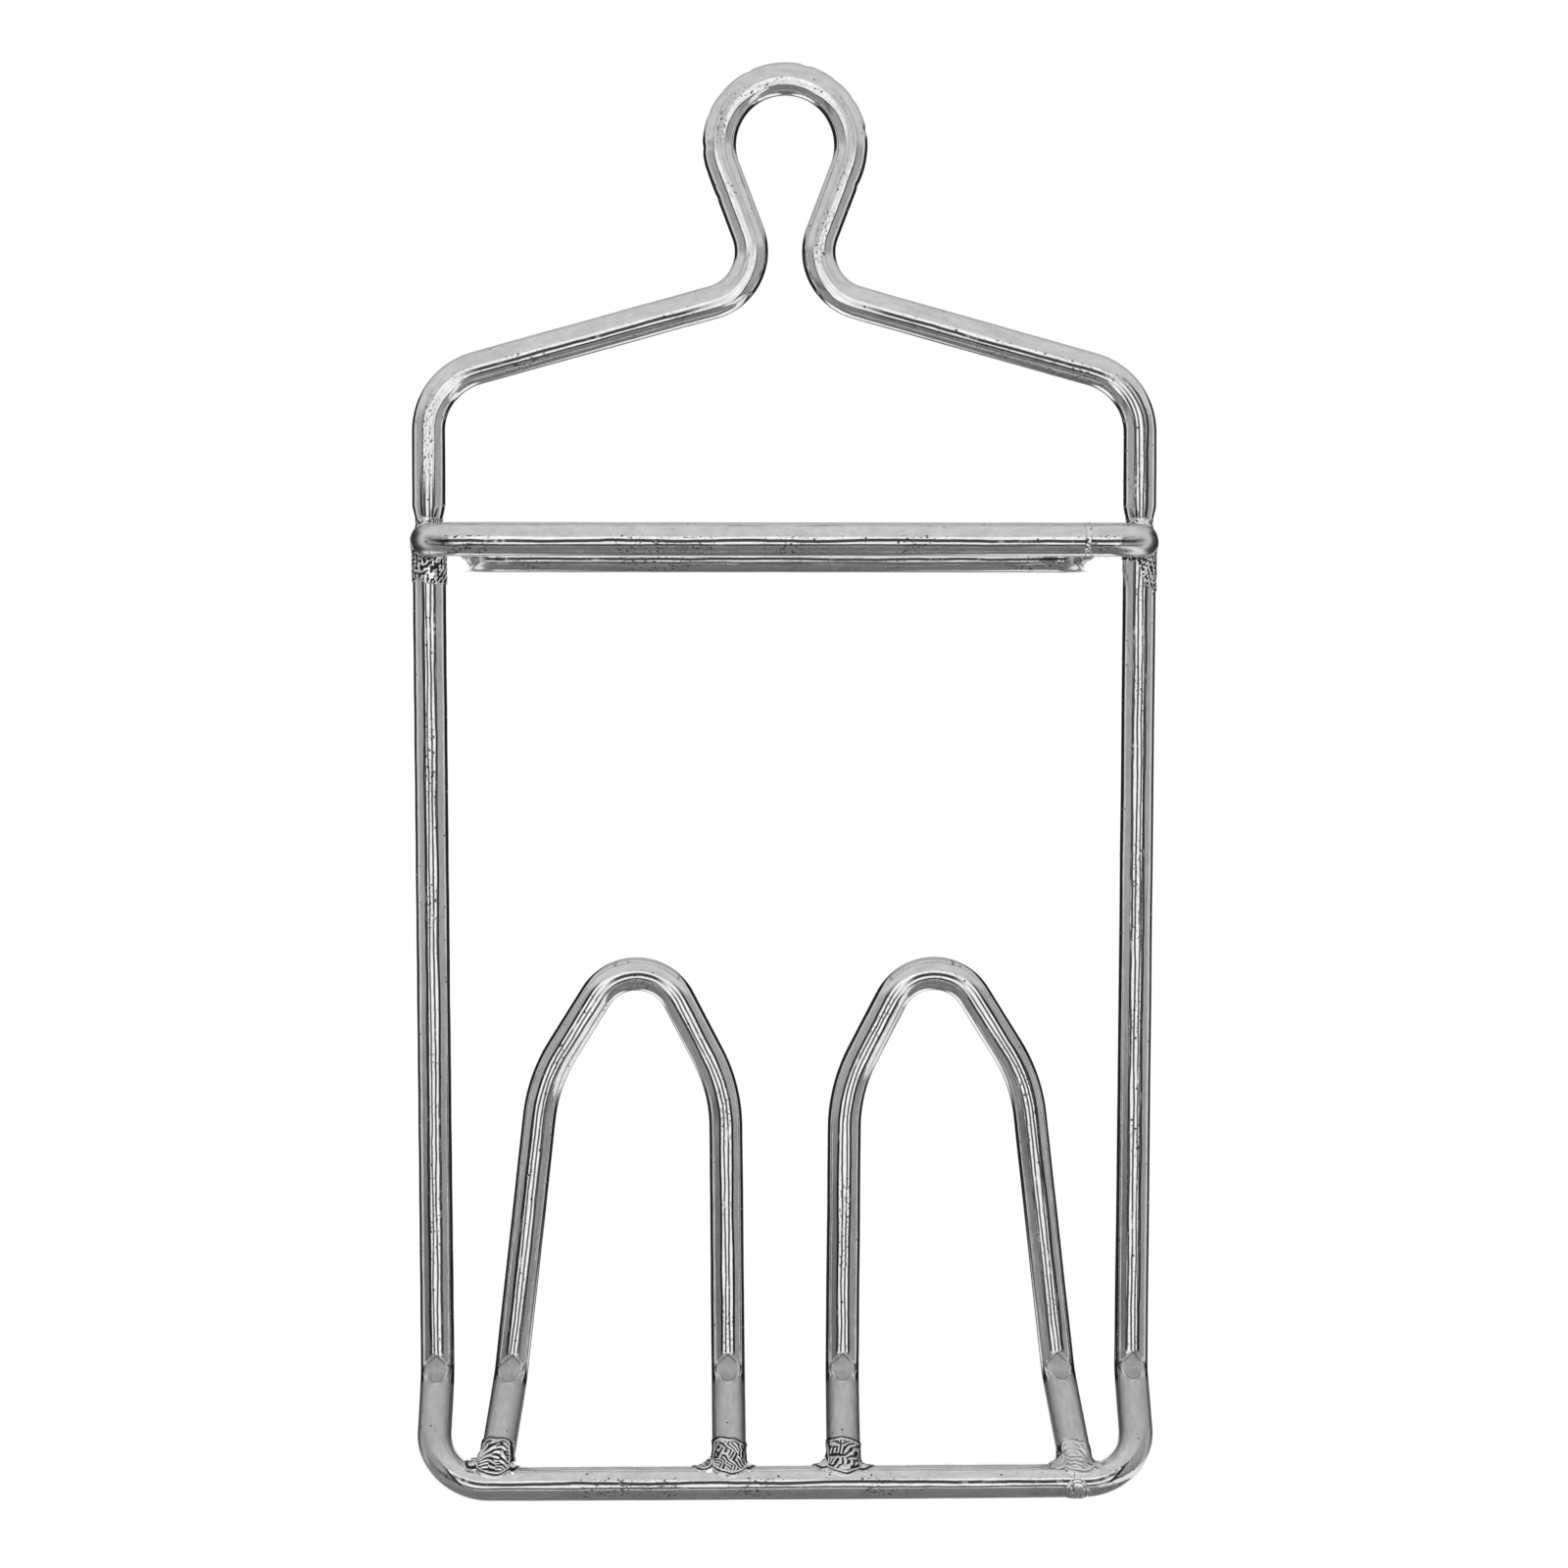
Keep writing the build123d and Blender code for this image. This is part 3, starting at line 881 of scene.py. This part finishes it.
def seam_weld(name, centre, seed, lump, lump_x, lump_sizes, height):
    """Butt seam across a rod that runs along X, dressed flush, with a lump of a given height
    left on one side. Lump is the angle up from the front at which it lies."""
    centre = np.array(centre, float)
    lump_place = WIRE * np.array([0.0, -cos(lump), sin(lump)]) + np.array([lump_x, 0, 0])

    def solid(p):
        q = p - centre
        radial = np.hypot(q[:, 1], q[:, 2])
        ring = np.abs(q[:, 0] + 0.10 * waves(p, seed + 1, 4, (1.0, 2.2))) - SEAM_HALF_WIDTH
        mound = ellipsoid(q, lump_place, lump_sizes)
        edge = np.minimum(ring, mound)
        rim = np.sin(np.clip(mound / 0.5, -2, 0) * 2 * pi + 0.6) * fall(mound, 0, 0.15)
        holes = np.clip(waves(p, seed, 6, (0.7, 1.6)) - 0.7, 0, 1)
        proud = 0.015 + height * fall(mound, 0, 0.3) + 0.05 * rim - 0.25 * holes
        return np.maximum(radial - WIRE - proud, edge), np.clip(holes * 3 - rim * 0.7, 0, 1)

    skin(name, centre, solid, dressed, 6)


seam_weld("loop_seam_weld", (LOOP_SEAM_X, LOOP_FRONT, LOOP_Z), 51,
          radians(-27), -0.5, (1.15, 1.0, 1.0), height=0.36)
seam_weld("bar_seam_weld", on_strip(BAR_SEAM_X, STRIP), 52,
          radians(-30), 0.0, (2.2, 2.7, 2.7), height=0.07)


# ---------------------------------------------------------------- studio, in metres
TENT_RADIUS = 0.55
TENT_CENTRE = (0.0, 0.0, -0.11)
CARD_HALF_WIDTH, CARD_HEIGHT = 0.13, 0.034
CARD_PLACE, CARD_TILT = (0.0, -0.215, -0.352), radians(-30)
FLOOR_Z, FLOOR_RADIUS = -0.80, 7.0
LAMP_PLACE, LAMP_TARGET = (0.25, -0.35, 1.6), (0, 0, -0.2)


def stage_piece(name, shape, place, material_name):
    """A staging piece made of a bmesh, and the empty tree of its material."""
    mesh = bpy.data.meshes.new(name)
    shape.to_mesh(mesh)
    shape.free()
    piece = bpy.data.objects.new(name, mesh)
    piece.location = place
    bpy.context.scene.collection.objects.link(piece)
    material = bpy.data.materials.new(material_name)
    material.use_nodes = True
    material.cycles.emission_sampling = "NONE"
    mesh.materials.append(material)
    return piece, Nodes(material.node_tree)


def reflection_only(piece):
    """Makes a stage piece that only reflections see."""
    piece.visible_camera = False
    piece.visible_diffuse = False
    piece.visible_shadow = False
    piece.visible_transmission = False


def tent_light(n, way):
    """How bright the tent is in each direction from its centre. Later parts cover earlier
    ones."""
    x, y, z = n.add("ShaderNodeSeparateXYZ", {0: way}).outputs
    level = n.math("MULTIPLY", n.math("ARCSINE", z), 180 / pi)
    turn = n.math("MULTIPLY", n.math("ARCTAN2", x, n.math("MULTIPLY", y, -1.0)), 180 / pi)
    wide = n.math("ABSOLUTE", turn)

    def spot(direction, radius, edge):
        facing = n.vector_math("DOT_PRODUCT", way, unit(np.array(direction))).outputs["Value"]
        return n.span(facing, cos(radians(radius + edge)), cos(radians(radius - edge)))

    # grey sides, darker low down and most on the left, a softbox overhead, a dim floor side
    low_sides = n.mix(n.span(x, -0.3, 0.3), 0.20, 0.36)
    light = n.mix(n.span(level, -6.0, -20.0), 0.46, low_sides)
    light = n.mix(n.span(z, 0.28, 0.44), light, 0.76)
    light = n.mix(n.span(z, -0.36, -0.46), light, n.span(z, -0.5, -0.95, 0.32, 0.22))
    # level with the rack: brighter sides, a dark gap behind them, and a white sheet behind
    horizon = n.band(level, -27.0, 27.0, 4.0)
    light = n.mix(n.overlap(n.band(y, 0.0, 0.32, 0.03), horizon, 0.8), light, 0.80)
    gap = n.overlap(n.band(y, 0.37, 0.92, 0.02), n.mix(horizon, 0.26, 1.0))
    light = n.mix(gap, light, 0.02)
    light = n.mix(n.span(y, 0.93, 0.95), light, 1.15)
    # lights low behind the rack, and one low on the right
    light = n.mix(spot((0.42, 0.6, -0.68), 17.0, 4.0), light, 1.2)
    light = n.mix(spot((-0.42, 0.6, -0.68), 17.0, 4.0), light, 1.2)
    light = n.mix(n.overlap(n.band(level, -46.0, -30.5, 1.5), n.span(x, 0.33, 0.43)), light, 1.05)
    # the wide white panel round the camera, in its dark frame
    tall = n.overlap(n.span(level, -35.0, -31.0), n.span(level, 12.0, 19.0, 1.0, 0.0))
    light = n.mix(n.overlap(n.band(wide, 36.0, 42.5, 0.8), tall), light, 0.04)
    panel = n.overlap(n.span(wide, 36.0, 37.5, 1.0, 0.0), n.band(level, -30.0, 60.0, 1.0))
    return n.mix(panel, light, n.span(level, 14.0, 22.0, 1.22, 0.76))


def light_tent():
    """Round tent that only reflections see."""
    ball = bmesh.new()
    bmesh.ops.create_uvsphere(ball, u_segments=96, v_segments=48, radius=TENT_RADIUS)
    tent, n = stage_piece("light_tent", ball, TENT_CENTRE, "tent_light")
    place = n.add("ShaderNodeTexCoord").outputs["Object"]
    way = n.vector_math("NORMALIZE", place).outputs[0]
    glow = n.add("ShaderNodeEmission", {"Strength": tent_light(n, way)})
    n.add("ShaderNodeOutputMaterial", {"Surface": glow.outputs[0]})
    reflection_only(tent)


def bounce_card():
    """Narrow white card low in front of the rack: a light line in the undersides."""
    sheet = bmesh.new()
    for across, up in ((-1, 0), (1, 0), (1, 1), (-1, 1)):
        sheet.verts.new((across * CARD_HALF_WIDTH, 0.0, (up - 0.5) * CARD_HEIGHT))
    sheet.faces.new(sheet.verts)
    card, n = stage_piece("bounce_card", sheet, CARD_PLACE, "card_light")
    card.rotation_euler = (CARD_TILT, 0, 0)
    place = n.add("ShaderNodeTexCoord").outputs["Object"]
    fibre = n.noise(place, (60.0, 60.0, 60.0), 2.0)
    glow = n.add("ShaderNodeEmission", {"Strength": n.mix(fibre, 0.82, 0.98)})
    n.add("ShaderNodeOutputMaterial", {"Surface": glow.outputs[0]})
    reflection_only(card)


def pale_floor():
    """Wide pale floor under the hanging rack. Far out it fades into the pale background."""
    disc = bmesh.new()
    bmesh.ops.create_circle(disc, cap_ends=True, segments=128, radius=FLOOR_RADIUS)
    floor, n = stage_piece("floor", disc, (0.0, 0.0, FLOOR_Z), "pale_floor")
    place = n.add("ShaderNodeTexCoord").outputs["Object"]
    far = n.vector_math("LENGTH", place).outputs["Value"]
    shade = n.mix(n.noise(place, (9.0, 9.0, 9.0), 4.0), 0.90, 0.925)
    colour = n.add("ShaderNodeCombineColor", {0: shade, 1: shade, 2: shade})
    paper = n.add("ShaderNodeBsdfDiffuse", {"Color": colour.outputs[0]})
    glow = n.add("ShaderNodeEmission", {"Strength": 1.0})
    faded = {0: n.span(far, 0.7, 1.9), 1: paper.outputs[0], 2: glow.outputs[0]}
    blend = n.add("ShaderNodeMixShader", faded)
    n.add("ShaderNodeOutputMaterial", {"Surface": blend.outputs[0]})
    floor.visible_glossy = False


def pale_room():
    """White background, a little dimmer as light than as seen."""
    world = bpy.data.worlds.new("pale_room")
    bpy.context.scene.world = world
    world.use_nodes = True
    n = Nodes(world.node_tree)
    seen = n.add("ShaderNodeLightPath").outputs["Is Camera Ray"]
    strength = n.mix(seen, 0.86, 1.0)
    room = n.add("ShaderNodeBackground", {"Color": (1, 1, 1, 1), "Strength": strength})
    n.add("ShaderNodeOutputWorld", {"Surface": room.outputs[0]})


def soft_top():
    """Soft lamp above and in front, which reflections don't see."""
    lamp = bpy.data.lights.new("soft_top", "AREA")
    lamp.shape = "DISK"
    lamp.size = 0.9
    lamp.energy = 6.0
    top = bpy.data.objects.new("soft_top", lamp)
    top.location = LAMP_PLACE
    top.rotation_euler = (Vector(LAMP_TARGET) - top.location).to_track_quat("-Z", "Y").to_euler()
    top.visible_glossy = False
    bpy.context.scene.collection.objects.link(top)


light_tent()
bounce_card()
pale_floor()
pale_room()
soft_top()

# ---------------------------------------------------------------- camera, in metres
CAMERA_PLACE = (-0.013, -0.565, -0.094)
CAMERA_AIM = (-0.0002, 0.0, -0.11266)
HALF_VIEW = 0.1392     # half the width that the picture shows at the aim

camera_data = bpy.data.cameras.new("camera")
camera = bpy.data.objects.new("camera", camera_data)
bpy.context.scene.collection.objects.link(camera)
bpy.context.scene.camera = camera
camera.location = CAMERA_PLACE
aim = Vector(CAMERA_AIM) - camera.location
camera.rotation_euler = aim.to_track_quat("-Z", "Y").to_euler()
camera_data.sensor_width = 36.0
camera_data.angle = 2 * atan(HALF_VIEW / aim.length)
camera_data.clip_start = 0.01
camera_data.clip_end = 50.0

bpy.context.scene.view_settings.view_transform = "Standard"
bpy.context.scene.cycles.max_bounces = 10
bpy.context.scene.cycles.glossy_bounces = 6
